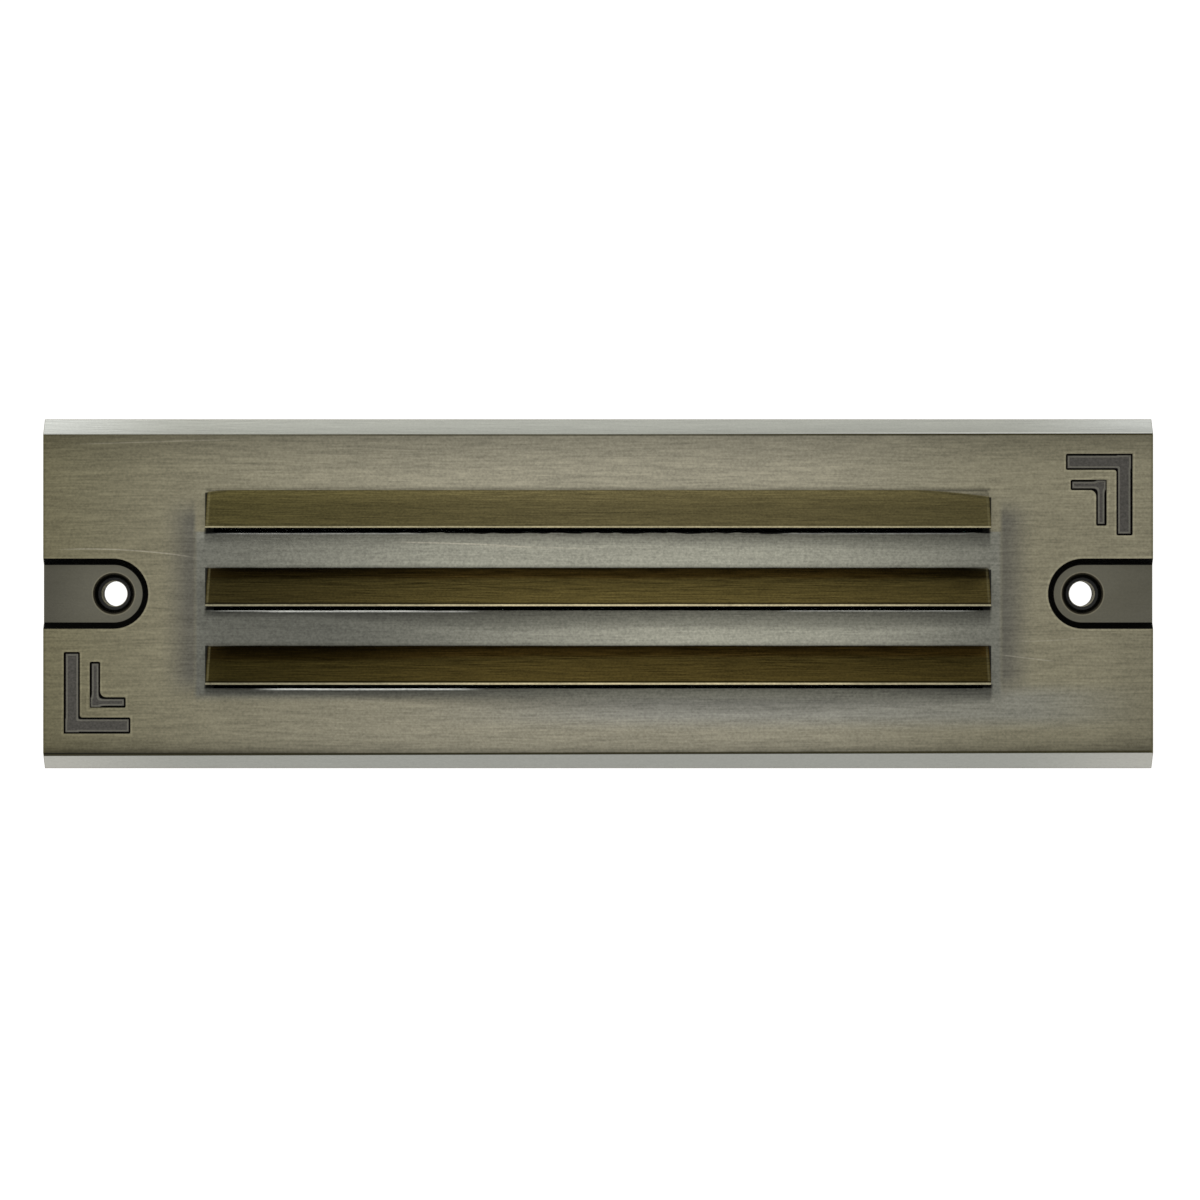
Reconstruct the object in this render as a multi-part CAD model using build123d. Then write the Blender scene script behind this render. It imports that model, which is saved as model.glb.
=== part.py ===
"""Louvred step light for a wall or a stair riser, in millimetres.

A cast brass faceplate with three hooded louvres covers a die-cast housing that sits in the wall.
X runs along the light, +Y goes back into the wall and +Z is up. The origin is the middle of the
faceplate's back, on the face of the wall.
"""
from build123d import *
import os
from math import cos, hypot, radians, tan

# Faceplate casting
plate_length = 222.0
plate_height = 70.0
plate_thick = 8.0
web_thick = 3.2  # metal between the face and the cored back
rim_width = 3.5
rim_corner = 3.0
edge_bevel = 3.15  # both long edges, at 45 degrees
core_rib = 1.8
core_rib_drop = 1.0  # ribs stop this far below the back rim

# Hooded louvres, cast in one with the plate
louvre_count = 3
hood_reach = 6.0  # how far a lip stands off the face
hood_drop = 7.2  # from a hood's root down to its lip
hood_wall = 1.8
cheek_wall = 1.2
hood_corner = 0.5  # upper corners, seen from the front
top_hood_corner = 1.0  # the upper hood's corners sink into the plate
lip_flat = 0.6
lip_round = 0.2
slot_gap = 0.8  # opening seen under a lip
slot_roof = 1.9  # from a hood's root down to the slot behind it
sill_rise = 1.2
slot_margin_x = 1.6  # from the window's edge to the slots
slot_margin_z = 1.05

# Wall screw holes and their end pockets
wall_hole_inset = 14.0
wall_hole_dia = 5.0
wall_head_dia = 8.4
countersink_angle = 82.0
wall_boss_dia = 12.0
pocket_height = 14.1
pocket_nose = 7.05  # from the hole's axis to the pocket's round end
pocket_depth = 1.3
pocket_draft = 1.26

# Nested corner marks, sunk in two opposite corners
mark_inset_x = 4.1
mark_inset_z = 7.0
mark_depth = 0.5
big_mark_run = 13.35
big_mark_rise = 16.35
big_mark_bar = 3.25
big_mark_crook = 0.5
small_mark_step = 5.2
small_mark_run = 7.2
small_mark_rise = 9.2
small_mark_bar = 2.1
small_mark_crook = 1.2
mark_tip_round = 0.35

# Housing, die-cast with draft
housing_depth = 62.0
housing_wall = 2.5
draft_angle = 1.5
window_corner = 3.0
back_round = 3.0
flange_thick = 3.0
flange_corner = 6.0
flange_band_x = 6.0
flange_band_z = 8.5
flange_root = 1.0
flange_end_gap = 4.0  # to the wall screws' bosses
flange_rim_gap = 0.5
gusset_thick = 1.8
gusset_length = 14.0
gusset_setback = 1.0
side_gusset_x = 36.0
end_gusset_z = 10.0

# Lens and its frame
lens_thick = 3.0
lens_bearing = 2.4
lens_arris = 0.3
gasket_wall = 1.1
gasket_clearance = 0.1
seat_rib = 2.3

# Housing screws
fixing_dia = 4.0
fixing_head_dia = 7.0
fixing_head_height = 4.0
fixing_key = 3.0
fixing_key_depth = 2.0
fixing_engagement = 4.9  # thread in the plate
fixing_hole_end = 0.6
fixing_boss_dia = 6.4
fixing_end_inset = 9.0
washer_dia = 7.2
washer_thick = 0.9
washer_slit = 0.8
screw_clearance = 0.25
thread_clearance = 0.06

# Reflector tray
wiring_depth = 18.7  # behind the tray
tray_setback = 6.0
tray_sheet = 0.8
tray_clearance = 0.5
tray_lip = 0.6
tray_end_slope = 8.0
tray_side_slope = 6.0
tray_corner = 3.0
tray_post_dia = 5.5
tray_post_gap = 3.5  # to the terminal block
tray_screw_dia = 3.0
tray_head_dia = 5.5
tray_head_height = 2.0
tray_screw_length = 9.0
head_clearance = 0.2

# Lamp brackets and holders
bracket_sheet = 1.2
bracket_width = 13.0
bracket_end_gap = 9.0
bracket_bend = 1.0
bracket_foot = 12.5
bracket_top = 10.0  # above the lamp's axis
lamp_height = 19.0  # lamp's axis above the tray's floor
rivet_dia = 3.0
rivet_head_dia = 5.4
rivet_head_height = 1.1
rivet_row = 3.6
rivet_clearance = 0.1
holder_length = 12.0
holder_width = 9.5
holder_round = 1.0
ear_margin = 2.4
ear_thick = 3.0
holder_screw_dia = 2.5
holder_head_dia = 4.2
holder_head_height = 1.6
holder_screw_end = 1.6
pin_pitch = 4.0
contact_bore = 2.7
contact_dia = 2.4
contact_wall = 0.65
contact_length = 7.5
contact_setback = 1.0

# Capsule lamps
pin_dia = 0.7
pin_length = 7.0
lamp_gap = 0.2
base_length = 10.0
base_dia = 10.0
base_shoulder = 1.2
base_shoulder_step = 0.8
envelope_dia = 10.4
envelope_wall = 0.6
envelope_length = 23.0
envelope_taper = 3.2
envelope_tip = 2.2
spigot_length = 1.5
spigot_clearance = 0.1
column_side = 4.4
column_length = 16.0
chip_length = 3.5
chip_width = 2.8
chip_thick = 0.6
chips_per_side = 3

# Leads
lead_dia = 1.8
lead_entry = 2.5
lead_bend = 3.0
lead_turn = 6.0
lead_run_clearance = 0.25
grommet_wall = 0.9
grommet_flange = 0.9
grommet_flange_thick = 0.8

# Terminal block
terminal_length = 22.0
terminal_width = 19.0
terminal_height = 12.0
terminal_round = 1.0
terminal_pad = 2.0
pole_pitch = 11.0
barrel_dia = 5.4
barrel_bore = 3.0
barrel_length = 18.0
barrel_clearance = 0.1
clamp_screw_dia = 2.6
clamp_spacing = 10.0
terminal_screw_dia = 3.0
terminal_head_dia = 5.5
terminal_head_height = 2.0
terminal_head_sink = 3.0
terminal_screw_bite = 3.5

# Cable gland
gland_x = 46.0
gland_thread_dia = 12.0
gland_bore = 7.0
gland_pad_dia = 23.0
gland_pad_height = 1.5
gland_hex = 16.0
gland_hex_thick = 5.0
gland_washer_thick = 1.0
gland_washer_dia = 15.5
locknut_thick = 3.5
thread_end = 1.0
bell_length = 7.0
bell_wall = 1.2
insert_length = 9.0
insert_bore = 6.0
cap_length = 12.5
cap_hex_length = 7.5
cap_mouth = 7.6
cap_start = 0.8
gland_clearance = 0.1

# Faceplate planes and half sizes
face_y = -plate_thick
web_y = face_y + web_thick
plate_half_x = plate_length / 2
plate_half_z = plate_height / 2
rim_half_x = plate_half_x - rim_width
rim_half_z = plate_half_z - rim_width
wall_hole_x = plate_half_x - wall_hole_inset

# Housing outlines, from the outside in
flange_half_x = wall_hole_x - wall_boss_dia / 2 - flange_end_gap
flange_half_z = rim_half_z - flange_rim_gap
body_half_x = flange_half_x - flange_band_x
body_half_z = flange_half_z - flange_band_z
window_half_x = body_half_x - housing_wall
window_half_z = body_half_z - housing_wall
draft = tan(radians(draft_angle))
rear_inside_y = housing_depth - housing_wall

# Lens stack, in the plate's pocket
lens_half_x = window_half_x + lens_bearing
lens_half_z = window_half_z + lens_bearing
lens_corner = window_corner + lens_bearing
gasket_half_x = lens_half_x + gasket_wall
gasket_half_z = lens_half_z + gasket_wall
gasket_corner = lens_corner + gasket_wall
gasket_lip = (-web_y - lens_thick) / 2
pocket_half_x = gasket_half_x + gasket_clearance
pocket_half_z = gasket_half_z + gasket_clearance
pocket_corner = gasket_corner + gasket_clearance

# Louvre rows
slot_half_x = window_half_x - slot_margin_x
hood_half_x = slot_half_x + cheek_wall
lip_depth = hood_drop + lip_flat
sill_depth = lip_depth + slot_gap
louvre_pitch = (2 * (window_half_z - slot_margin_z) - sill_depth + slot_roof) / (louvre_count - 1)
top_root_z = window_half_z - slot_margin_z + slot_roof
root_heights = [top_root_z - row * louvre_pitch for row in range(louvre_count)]

# Housing screw pattern
fixing_z = body_half_z + flange_root + washer_dia / 2 + gasket_clearance
fixing_x = body_half_x - fixing_end_inset
fixing_places = [(x, z) for x in (-fixing_x, fixing_x) for z in (-fixing_z, fixing_z)]

# Reflector tray
tray_back_y = rear_inside_y - wiring_depth
tray_floor_y = tray_back_y - tray_sheet
tray_front_half_x = window_half_x - tray_setback * draft - tray_clearance - tray_lip
tray_front_half_z = window_half_z - tray_setback * draft - tray_clearance - tray_lip
tray_back_half_x = tray_front_half_x - tray_end_slope
tray_back_half_z = tray_front_half_z - tray_side_slope
tray_post_x = terminal_length / 2 + tray_post_gap + tray_post_dia / 2
tray_post_places = [(-tray_post_x, 0), (tray_post_x, 0)]

# Lamp line, on the right-hand side
lamp_y = tray_floor_y - lamp_height
bracket_x = tray_back_half_x - tray_sheet - bracket_end_gap
bracket_back_x = bracket_x + bracket_sheet
ear_hole_spacing = holder_width + holder_head_dia + 2 * head_clearance
ear_span = ear_hole_spacing + 2 * ear_margin
ear_places = (lamp_y - ear_hole_spacing / 2, lamp_y + ear_hole_spacing / 2)
rivet_x = bracket_x - bracket_foot / 2
holder_face_x = bracket_x - holder_length
base_back_x = holder_face_x - lamp_gap
base_front_x = base_back_x - base_length
spigot_x = base_front_x - spigot_length
pin_rows = (-pin_pitch / 2, pin_pitch / 2)

# Leads and terminal block
lead_x = bracket_back_x + lead_bend + lead_run_clearance
grommet_half_z = pin_pitch / 2 + lead_dia / 2 + grommet_wall
grommet_half_x = lead_dia / 2 + grommet_wall
terminal_back_y = rear_inside_y - terminal_pad
terminal_front_y = terminal_back_y - terminal_height
pole_y = (terminal_back_y + terminal_front_y) / 2
pole_rows = (-pole_pitch / 2, pole_pitch / 2)
lead_end_x = clamp_spacing / 2 - clamp_screw_dia / 2 - barrel_clearance

# Gland, from the inside out
pad_y = housing_depth + gland_pad_height
gland_seat_y = pad_y + gland_washer_thick
gland_step_y = gland_seat_y + gland_hex_thick
bell_y = gland_step_y + bell_length
locknut_y = rear_inside_y - locknut_thick
bell_bore = gland_thread_dia - 2 * bell_wall
insert_y = bell_y - insert_length + thread_end
cap_y = gland_step_y + cap_start
cap_end_y = cap_y + cap_length


def facing(depth):
    """A drawing plane seen from the front, with its y upright."""
    return Plane(origin=(0, depth, 0), x_dir=(1, 0, 0), z_dir=(0, -1, 0))


def slab(outline, front, back):
    """An outline drawn from the front, made solid between two depths."""
    return extrude(facing(back) * outline, amount=back - front, dir=(0, -1, 0))


def across(outline, start, length):
    """An outline in depth and height, made solid along the light."""
    plane = Plane(origin=(start, 0, 0), x_dir=(0, 1, 0), z_dir=(1, 0, 0))
    return extrude(plane * outline, amount=length, dir=(1, 0, 0))


def upright(outline, low, high):
    """An outline of distance along the light and depth, made solid between two heights."""
    return extrude(Plane.XY.offset(low) * outline, amount=high - low, dir=(0, 0, 1))


def panel(half_x, half_z, corner):
    """A rounded oblong about the light's middle."""
    return RectangleRounded(2 * half_x, 2 * half_z, corner)


def ring(outer, inner, front, back):
    """A slab of one outline with another cut through it."""
    return slab(outer - inner, front, back)


def rod(x, z, diameter, front, back):
    """A round bar that points into the wall."""
    return slab(Pos(x, z) * Circle(diameter / 2), front, back)


def tapered(half_x, half_z, corner, front, back, shrink):
    """A rounded block that gets smaller towards the back by the same amount on every side."""
    near = facing(front) * panel(half_x, half_z, corner)
    far = facing(back) * panel(half_x - shrink, half_z - shrink, corner)
    return loft([near, far])


def turned(outline, x, z):
    """An outline of radius and depth, turned about an axis that points into the wall."""
    return Pos(x, 0, z) * revolve(Plane.XY * outline, Axis.Y)


def turned_lamp(outline):
    """An outline of distance along the light and radius, turned about the lamp's axis."""
    return Pos(0, lamp_y, 0) * revolve(Plane.XY * outline, Axis.X)


def loop(*points):
    """A closed outline through its corners, left where it is drawn."""
    return Polygon(*points, align=None)


def hexagon(flats, x, z, front, back):
    """A hexagonal bar, with flats above and below."""
    outline = RegularPolygon(flats / 2, 6, major_radius=False)
    return slab(Pos(x, z) * outline, front, back)


def along(x, y, z, diameter, length):
    """A round bar along the light that starts at x."""
    return across(Pos(y, z) * Circle(diameter / 2), x, length)


def other_side(piece):
    """The same piece at the light's left-hand end."""
    return mirror(piece, about=Plane.YZ)


def plate_blank():
    """The plate's bevelled section, run along its length."""
    face_half = plate_half_z - edge_bevel
    section = loop(
        (0, -plate_half_z),
        (face_y + edge_bevel, -plate_half_z),
        (face_y, -face_half),
        (face_y, face_half),
        (face_y + edge_bevel, plate_half_z),
        (0, plate_half_z),
    )
    return across(section, -plate_half_x, plate_length)


def plate_back():
    """What stands in the cored back: the lens pocket's wall, the bosses and the ribs."""
    pocket = panel(pocket_half_x, pocket_half_z, pocket_corner)
    wall = panel(pocket_half_x + seat_rib, pocket_half_z + seat_rib, pocket_corner + seat_rib)
    back = ring(wall, pocket, web_y, 0)
    pocket_space = slab(pocket, web_y, 0)
    for x, z in fixing_places:
        back += rod(x, z, fixing_boss_dia, web_y, 0)
    rib_top = -core_rib_drop
    for x in (-side_gusset_x, side_gusset_x):
        back += slab(Pos(x, 0) * Rectangle(core_rib, 2 * rim_half_z), web_y, rib_top)
    back += slab(Rectangle(2 * rim_half_x, core_rib), web_y, rib_top)
    back -= pocket_space
    for x in (-wall_hole_x, wall_hole_x):
        back += rod(x, 0, wall_boss_dia, web_y, 0)
    return back


def hood(root_z):
    """One louvre's wedge, still solid, with a rounded lip and upper corners."""
    section = loop(
        (face_y, root_z),
        (face_y - hood_reach, root_z - hood_drop),
        (face_y - hood_reach, root_z - lip_depth),
        (face_y, root_z - lip_depth),
    )
    wedge = across(section, -hood_half_x, 2 * hood_half_x)
    nose = wedge.edges().filter_by(Axis.X).group_by(Axis.Y)[0]
    wedge = fillet(nose, lip_round)
    corner = top_hood_corner if root_z == top_root_z else hood_corner
    middle_z = root_z - lip_depth / 2
    front = Pos(0, middle_z) * Rectangle(2 * hood_half_x, lip_depth)
    front = fillet(front.vertices().group_by(Axis.Y)[-1], corner)
    return wedge & slab(front, face_y - hood_reach, face_y)


def slot(root_z):
    """The hollow under one hood and the slot behind it, down to a sloping sill."""
    slope_length = hypot(hood_reach, hood_drop)

    def hollow_y(drop):
        return face_y - drop * hood_reach / hood_drop + hood_wall * slope_length / hood_drop

    beyond = web_y + core_rib
    sill_slope = sill_rise / web_thick
    section = loop(
        (hollow_y(sill_depth), root_z - sill_depth),
        (hollow_y(slot_roof), root_z - slot_roof),
        (beyond, root_z - slot_roof),
        (beyond, root_z - sill_depth + (beyond - face_y) * sill_slope),
        (face_y, root_z - sill_depth),
    )
    return across(section, -slot_half_x, 2 * slot_half_x)


def end_pocket():
    """The U-shaped pocket round the right-hand screw hole, open at the plate's end."""
    radius = pocket_height / 2
    floor_radius = radius - pocket_draft
    centre = wall_hole_x - pocket_nose + radius
    overrun = plate_half_x - centre + pocket_draft
    nose = Rot(-90, 0, 0) * Cone(radius, floor_radius, pocket_depth)
    nose = Pos(centre, face_y + pocket_depth / 2, 0) * nose
    channel = loop(
        (face_y, -radius),
        (face_y + pocket_depth, -floor_radius),
        (face_y + pocket_depth, floor_radius),
        (face_y, radius),
    )
    return nose + across(channel, centre, overrun)


def wall_hole():
    """The right-hand countersunk screw hole, through the pocket's floor and its boss."""
    floor_y = face_y + pocket_depth
    half_angle = radians(countersink_angle / 2)
    sink = (wall_head_dia - wall_hole_dia) / 2 / tan(half_angle)
    cone = Rot(-90, 0, 0) * Cone(wall_head_dia / 2, wall_hole_dia / 2, sink)
    cone = Pos(wall_hole_x, floor_y + sink / 2, 0) * cone
    return cone + rod(wall_hole_x, 0, wall_hole_dia, floor_y, core_rib)


def corner_mark(step, run, rise, bar, crook_round):
    """One right-angled mark near the lower left corner."""
    left = -plate_half_x + mark_inset_x + step
    low = -plate_half_z + mark_inset_z + step
    outline = loop(
        (left, low),
        (left + run, low),
        (left + run, low + bar),
        (left + bar, low + bar),
        (left + bar, low + rise),
        (left, low + rise),
    )
    crook = outline.vertices().sort_by_distance((left + bar, low + bar, 0))[0]
    outline = fillet(crook, crook_round)
    tips = outline.vertices().group_by(Axis.X)[-1] + outline.vertices().group_by(Axis.Y)[-1]
    outline = fillet(tips, mark_tip_round)
    return slab(outline, face_y, face_y + mark_depth)


def faceplate():
    plate = plate_blank()
    plate -= slab(panel(rim_half_x, rim_half_z, rim_corner), web_y, 0)
    plate += plate_back()
    for root_z in root_heights:
        plate += hood(root_z)
    for root_z in root_heights:
        plate -= slot(root_z)
    plate -= end_pocket()
    plate -= other_side(end_pocket())
    plate -= wall_hole()
    plate -= other_side(wall_hole())
    marks = corner_mark(0, big_mark_run, big_mark_rise, big_mark_bar, big_mark_crook)
    small = (small_mark_run, small_mark_rise, small_mark_bar, small_mark_crook)
    marks += corner_mark(small_mark_step, *small)
    plate -= marks
    plate -= Rot(0, 180, 0) * marks
    tapped = fixing_dia + 2 * thread_clearance
    for x, z in fixing_places:
        plate -= rod(x, z, tapped, -fixing_engagement - fixing_hole_end, 0)
    return plate


def lens_gasket():
    """A frame with a groove all round inside, which holds the lens by its edges."""
    window = panel(window_half_x, window_half_z, window_corner)
    outside = panel(gasket_half_x, gasket_half_z, gasket_corner)
    groove = panel(lens_half_x, lens_half_z, lens_corner)
    frame = ring(outside, window, web_y, 0)
    return frame - slab(groove, web_y + gasket_lip, -gasket_lip)


def lens():
    pane = slab(panel(lens_half_x, lens_half_z, lens_corner), web_y + gasket_lip, -gasket_lip)
    return chamfer(pane.edges().filter_by(Axis.Y, reverse=True), lens_arris)


def gussets():
    """Triangular webs between the flange and the body, above, below and at both ends."""
    reach_y = flange_thick + gusset_length
    inside_z = body_half_z - housing_wall / 2
    tip_z = flange_half_z - gusset_setback
    side = loop((flange_thick, inside_z), (flange_thick, tip_z), (reach_y, inside_z))
    inside_x = body_half_x - housing_wall / 2
    tip_x = flange_half_x - gusset_setback
    end = loop((inside_x, flange_thick), (tip_x, flange_thick), (inside_x, reach_y))
    webs = Part()
    for x in (-side_gusset_x, side_gusset_x):
        upper = across(side, x - gusset_thick / 2, gusset_thick)
        webs += upper + mirror(upper, about=Plane.XY)
    for z in (-end_gusset_z, end_gusset_z):
        right = upright(end, z - gusset_thick / 2, z + gusset_thick / 2)
        webs += right + other_side(right)
    return webs


def housing_shell():
    """The drafted box with its rounded back, its flange and the raised root between them."""
    body_corner = window_corner + housing_wall
    shell = tapered(body_half_x, body_half_z, body_corner, 0, housing_depth, housing_depth * draft)
    shell = fillet(shell.faces().sort_by(Axis.Y)[-1].edges(), back_round)
    root_end = flange_thick + flange_root
    shell += tapered(
        body_half_x + flange_root,
        body_half_z + flange_root,
        body_corner + flange_root,
        flange_thick,
        root_end,
        flange_root,
    )
    shell += slab(panel(flange_half_x, flange_half_z, flange_corner), 0, flange_thick)
    shell += gussets()
    shell += rod(gland_x, 0, gland_pad_dia, rear_inside_y, pad_y)
    cavity_shrink = rear_inside_y * draft
    return shell - tapered(window_half_x, window_half_z, window_corner, 0, rear_inside_y, cavity_shrink)


def housing():
    case = housing_shell()
    for x, z in tray_post_places:
        case += rod(x, z, tray_post_dia, tray_back_y, housing_depth - housing_wall / 2)
    pad = Rectangle(terminal_length, terminal_width)
    case += slab(pad, terminal_back_y, housing_depth - housing_wall / 2)
    for x, z in fixing_places:
        case -= rod(x, z, fixing_dia + 2 * screw_clearance, 0, flange_thick)
    pilot = tray_screw_dia + 2 * thread_clearance
    for x, z in tray_post_places:
        case -= rod(x, z, pilot, tray_back_y, tray_floor_y + tray_screw_length + fixing_hole_end)
    bite = terminal_back_y + terminal_screw_bite
    case -= rod(0, 0, terminal_screw_dia + 2 * thread_clearance, terminal_back_y, bite)
    case -= rod(gland_x, 0, gland_thread_dia + 2 * gland_clearance, rear_inside_y, pad_y)
    return case


def cap_screw(x, z):
    """A socket-headed screw, its head behind the flange."""
    seat_y = flange_thick + washer_thick
    head_y = seat_y + fixing_head_height
    screw = rod(x, z, fixing_dia, -fixing_engagement, seat_y)
    screw += rod(x, z, fixing_head_dia, seat_y, head_y)
    return screw - hexagon(fixing_key, x, z, head_y - fixing_key_depth, head_y)


def spring_washer(x, z):
    """A flat ring with one slit."""
    hole = fixing_dia + 2 * screw_clearance
    outline = Circle(washer_dia / 2) - Circle(hole / 2)
    outline -= Pos(washer_dia / 2, 0) * Rectangle(washer_dia, washer_slit)
    return slab(Pos(x, z) * outline, flange_thick, flange_thick + washer_thick)


def lead_slot(grow):
    """The outline of a lead hole in the tray's floor, or larger by an amount."""
    width = 2 * (grommet_half_x + grow)
    height = 2 * (grommet_half_z + grow)
    return Pos(lead_x, 0) * Rot(0, 0, 90) * SlotOverall(height, width)


def tray_pan(shrink, front, back):
    """The tray's sloping form, or its inside when shrunk by the sheet."""
    near = facing(front) * panel(tray_front_half_x - shrink, tray_front_half_z - shrink, tray_corner)
    far = facing(back) * panel(tray_back_half_x - shrink, tray_back_half_z - shrink, tray_corner)
    return loft([near, far])


def reflector_tray():
    tray = tray_pan(0, tray_setback, tray_back_y)
    lip = panel(tray_front_half_x + tray_lip, tray_front_half_z + tray_lip, tray_corner + tray_lip)
    tray += slab(lip, tray_setback, tray_setback + tray_sheet)
    tray -= tray_pan(tray_sheet, tray_setback, tray_floor_y)
    for x, z in tray_post_places:
        tray -= rod(x, z, tray_screw_dia + 2 * screw_clearance, tray_floor_y, tray_back_y)
    for x in (-rivet_x, rivet_x):
        for z in (-rivet_row, rivet_row):
            tray -= rod(x, z, rivet_dia + 2 * rivet_clearance, tray_floor_y, tray_back_y)
    hole = slab(lead_slot(0), tray_floor_y, tray_back_y)
    return tray - hole - other_side(hole)


def pan_screw(x, z, diameter, head_dia, head_height, seat_y, length):
    """A domed screw driven towards the back."""
    screw = rod(x, z, diameter, seat_y, seat_y + length)
    head = rod(x, z, head_dia, seat_y - head_height, seat_y)
    head = chamfer(head.edges().group_by(Axis.Y)[0], head_height / 2)
    recess = rod(x, z, diameter / 2, seat_y - head_height, seat_y - head_height / 2)
    return screw + head - recess


def lamp_bracket():
    """A bent strip: its leg carries the holder and its foot is riveted to the tray."""
    leg_front = lamp_y - bracket_top
    foot_x = bracket_x - bracket_foot
    foot_y = tray_floor_y - bracket_sheet
    outline = loop(
        (bracket_x, leg_front),
        (bracket_back_x, leg_front),
        (bracket_back_x, tray_floor_y),
        (foot_x, tray_floor_y),
        (foot_x, foot_y),
        (bracket_x, foot_y),
    )
    crook = outline.vertices().sort_by_distance((bracket_x, foot_y, 0))[0]
    outline = fillet(crook, bracket_bend)
    heel = outline.vertices().sort_by_distance((bracket_back_x, tray_floor_y, 0))[0]
    outline = fillet(heel, bracket_bend + bracket_sheet)
    strip = upright(outline, -bracket_width / 2, bracket_width / 2)
    window = SlotOverall(contact_bore + pin_pitch + 2 * screw_clearance, contact_bore, 90)
    strip -= across(Pos(lamp_y, 0) * window, bracket_x, bracket_sheet)
    for y in ear_places:
        strip -= along(bracket_x, y, 0, holder_screw_dia + 2 * thread_clearance, bracket_sheet)
    for z in (-rivet_row, rivet_row):
        strip -= rod(rivet_x, z, rivet_dia + 2 * rivet_clearance, foot_y, tray_floor_y)
    return strip


def rivet(z):
    """A closed rivet through the bracket's foot and the tray's floor."""
    seat_y = tray_floor_y - bracket_sheet
    shank = rod(rivet_x, z, rivet_dia, seat_y, tray_back_y)
    head = rod(rivet_x, z, rivet_head_dia, seat_y - rivet_head_height, seat_y)
    tail = rod(rivet_x, z, rivet_head_dia, tray_back_y, tray_back_y + rivet_head_height)
    return shank + chamfer(head.edges().group_by(Axis.Y)[0], rivet_head_height / 2) + tail


def lamp_holder():
    """A ceramic block with two ears and a bore for each pin."""
    section = Pos(lamp_y, 0) * RectangleRounded(holder_width, holder_width, holder_round)
    ears = Pos(lamp_y, 0) * SlotOverall(ear_span, holder_width)
    block = across(section, holder_face_x, holder_length)
    block += across(ears, bracket_x - ear_thick, ear_thick)
    for z in pin_rows:
        block -= along(holder_face_x, lamp_y, z, contact_bore, holder_length)
    for y in ear_places:
        hole = holder_screw_dia + 2 * screw_clearance
        block -= along(bracket_x - ear_thick, y, 0, hole, ear_thick)
    return block


def holder_screw(y):
    """A small screw from the ear's face through the bracket."""
    seat_x = bracket_x - ear_thick
    end_x = bracket_back_x + holder_screw_end
    screw = along(seat_x, y, 0, holder_screw_dia, end_x - seat_x)
    return screw + along(seat_x - holder_head_height, y, 0, holder_head_dia, holder_head_height)


def holder_contact(z):
    """A sprung sleeve in the holder's bore."""
    start = holder_face_x + contact_setback
    sleeve = along(start, lamp_y, z, contact_dia, contact_length)
    return sleeve - along(start, lamp_y, z, contact_dia - 2 * contact_wall, contact_length)


def lamp_base():
    """The lamp's moulded base, with a shoulder and a spigot for the envelope."""
    radius = base_dia / 2
    waist = radius - base_shoulder_step
    spigot = envelope_dia / 2 - envelope_wall - spigot_clearance
    shoulder_x = base_back_x - base_shoulder
    profile = loop(
        (base_back_x, 0),
        (base_back_x, waist),
        (shoulder_x, radius),
        (base_front_x, radius + spigot_clearance),
        (base_front_x, spigot),
        (spigot_x, spigot),
        (spigot_x, 0),
    )
    return turned_lamp(profile)


def lamp_pin(z):
    return along(base_back_x, lamp_y, z, pin_dia, pin_length)


def lamp_envelope():
    """A clear tube with a blunt, tapering end, seated on the base."""
    outer = envelope_dia / 2
    inner = outer - envelope_wall
    tip_x = base_front_x - envelope_length
    profile = loop(
        (base_front_x, inner),
        (base_front_x, outer),
        (tip_x + envelope_taper, outer),
        (tip_x, envelope_tip),
        (tip_x, 0),
        (tip_x + envelope_wall, 0),
        (tip_x + envelope_wall, envelope_tip),
        (tip_x + envelope_taper, inner),
    )
    return turned_lamp(profile)


def led_column():
    """The square board stack that carries the diodes."""
    section = Pos(lamp_y, 0) * RectangleRounded(column_side, column_side, chip_thick)
    return across(section, spigot_x - column_length, column_length)


def led_chips():
    """Diodes in a row along each of the column's four sides."""
    chips = []
    spacing = column_length / chips_per_side
    for place in range(chips_per_side):
        start = spigot_x - (place + 0.5) * spacing - chip_length / 2
        chip = Pos(column_side / 2 + chip_thick / 2, 0) * Rectangle(chip_thick, chip_width)
        for turn in range(4):
            outline = Pos(lamp_y, 0) * Rot(0, 0, turn * 90) * chip
            chips.append(across(outline, start, chip_length))
    return chips


def lead(pin_z, pole_z):
    """One insulated lead, from the holder's back, through the tray and into the terminal block."""
    path = FilletPolyline(
        (bracket_x - lead_entry, lamp_y, pin_z),
        (lead_x, lamp_y, pin_z),
        (lead_x, pole_y, pin_z),
        (lead_end_x, pole_y, pole_z),
        radius=[lead_bend, lead_turn],
    )
    section = Plane(origin=path @ 0, z_dir=path % 0) * Circle(lead_dia / 2)
    return sweep(section, path)


def lead_grommet():
    """A rubber eyelet in the tray's lead hole, with a flange on both sides."""
    front_y = tray_floor_y - grommet_flange_thick
    back_y = tray_back_y + grommet_flange_thick
    eyelet = slab(lead_slot(0), front_y, back_y)
    for near in (front_y, tray_back_y):
        eyelet += slab(lead_slot(grommet_flange), near, near + grommet_flange_thick)
    return eyelet - slab(lead_slot(-grommet_wall), front_y, back_y)


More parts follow.
